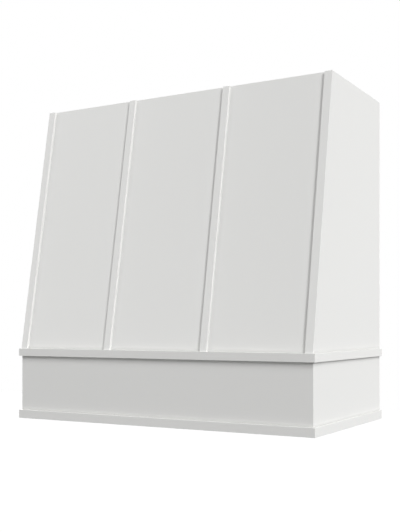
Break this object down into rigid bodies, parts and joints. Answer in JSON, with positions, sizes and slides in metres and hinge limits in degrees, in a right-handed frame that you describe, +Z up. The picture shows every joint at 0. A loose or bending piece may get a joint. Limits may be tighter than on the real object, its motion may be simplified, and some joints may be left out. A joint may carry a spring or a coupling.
{
  "type": "range hood cover",
  "caption": "Painted wooden range hood cover: sloped battened front over an upright band with block trims, open below for a ventilation insert, above for a duct and behind to the wall.",
  "frame": {"origin": "on the underside of the base trim, under the middle of the hood's outer box", "axes": "+X to the right of someone facing the hood, +Y from the front to the wall, +Z up"},
  "size_m": [0.9278, 0.5066, 0.917],
  "materials": {
    "satin_paint": "satin white paint over sanded wood",
    "birch_ply": "unpainted birch plywood, sanded",
    "pine": "planed softwood, unpainted",
    "zinc_screw": "zinc-plated steel"
  },
  "bodies": {
    "root": {"side_panel_right": "satin_paint", "side_panel_left": "satin_paint", "band_front": "satin_paint", "front_panel": "satin_paint", "batten_corner_right": "satin_paint", "batten_corner_left": "satin_paint", "batten_inner_1": "satin_paint", "batten_inner_2": "satin_paint", "upper_trim_front": "satin_paint", "upper_trim_right": "satin_paint", "upper_trim_left": "satin_paint", "base_trim_front": "satin_paint", "base_trim_right": "satin_paint", "base_trim_left": "satin_paint", "knee_rail": "pine", "rib_1": "birch_ply", "rib_2": "birch_ply", "corner_strip_right": "pine", "corner_strip_left": "pine", "corner_block_right": "pine", "corner_block_left": "pine", "shelf_rail_front": "birch_ply", "shelf_rail_rear": "birch_ply", "shelf_rail_right": "birch_ply", "shelf_rail_left": "birch_ply", "shelf_cleat_front": "pine", "shelf_cleat_right": "pine", "shelf_cleat_left": "pine", "lower_nailer": "birch_ply", "upper_nailer": "birch_ply", "rear_stile_right": "birch_ply", "rear_stile_left": "birch_ply", "top_rail_front": "birch_ply", "top_rail_rear": "birch_ply", "top_rail_right": "birch_ply", "top_rail_left": "birch_ply"}
  },
  "joints": []
}
